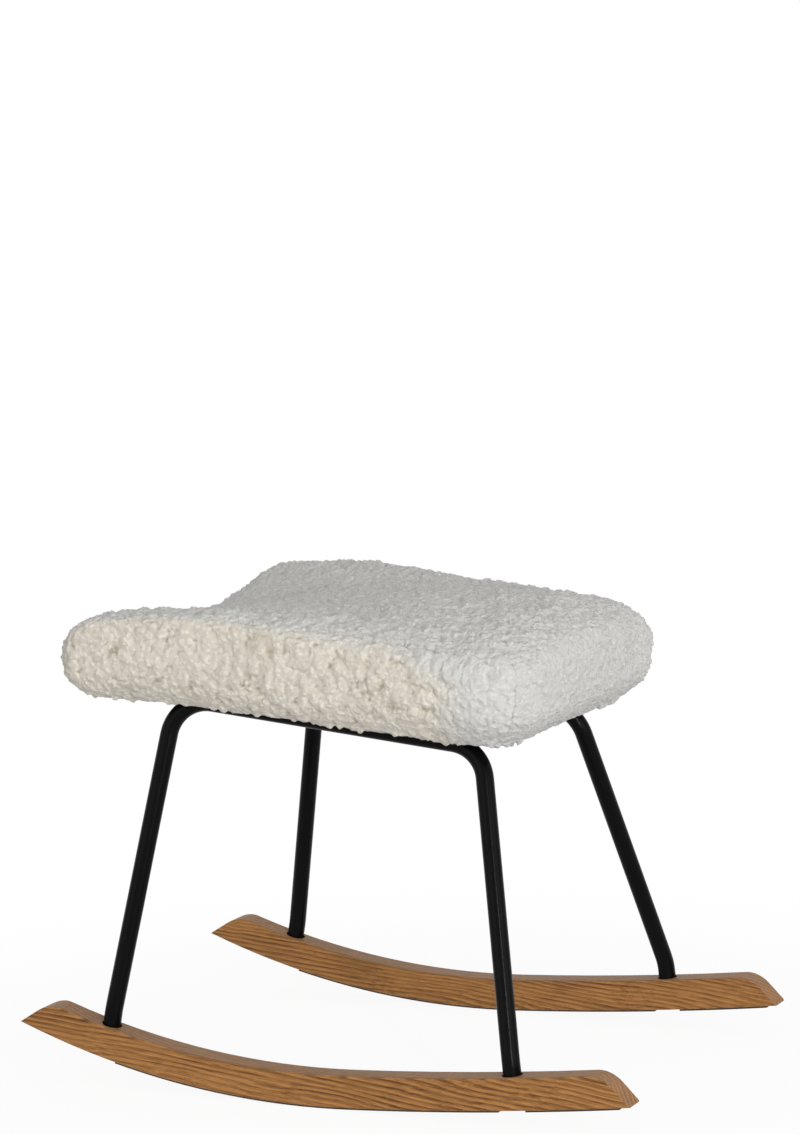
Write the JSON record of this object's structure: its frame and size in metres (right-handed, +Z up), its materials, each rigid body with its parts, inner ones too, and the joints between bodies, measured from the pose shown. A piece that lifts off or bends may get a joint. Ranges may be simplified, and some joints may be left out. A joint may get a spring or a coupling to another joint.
{
  "type": "rocking footstool",
  "caption": "Low rocking footstool with curved wooden rockers, bent steel tube side frames and a sloping saddle-shaped fleece seat pad.",
  "frame": {"origin": "on the floor under the middle of the rockers, midway between them", "axes": "+X along the rockers towards the low end of the seat, +Y towards the far rocker, +Z up"},
  "size_m": [0.5895, 0.4086, 0.4306],
  "materials": {
    "rocker_wood": "oiled, satin",
    "glide_strip": "matte",
    "black_steel": "satin powder coat",
    "zinc_steel": "zinc plated",
    "plywood": "raw",
    "black_cloth": "non-woven",
    "foam": "open cell foam",
    "fleece": "long curly pile",
    "side_fleece": "long curly pile"
  },
  "bodies": {
    "root": {"near_rocker": "rocker_wood", "far_rocker": "rocker_wood", "near_middle_strip": "glide_strip", "near_end_strip": "glide_strip", "far_middle_strip": "glide_strip", "far_end_strip": "glide_strip", "near_side_frame": "black_steel", "far_side_frame": "black_steel", "high_cross_tube": "black_steel", "low_cross_tube": "black_steel", "near_high_corner_plate": "black_steel", "near_low_corner_plate": "black_steel", "far_high_corner_plate": "black_steel", "far_low_corner_plate": "black_steel", "leg_plugs": "zinc_steel", "leg_bolts": "zinc_steel", "leg_washers": "zinc_steel", "seat_board": "plywood", "tee_nuts": "zinc_steel", "seat_screws": "zinc_steel", "seat_washers": "zinc_steel", "bottom_cloth": "black_cloth", "foam_pad": "foam", "cover_main_panel": "fleece", "cover_near_panel": "side_fleece", "cover_far_panel": "side_fleece"}
  },
  "joints": []
}
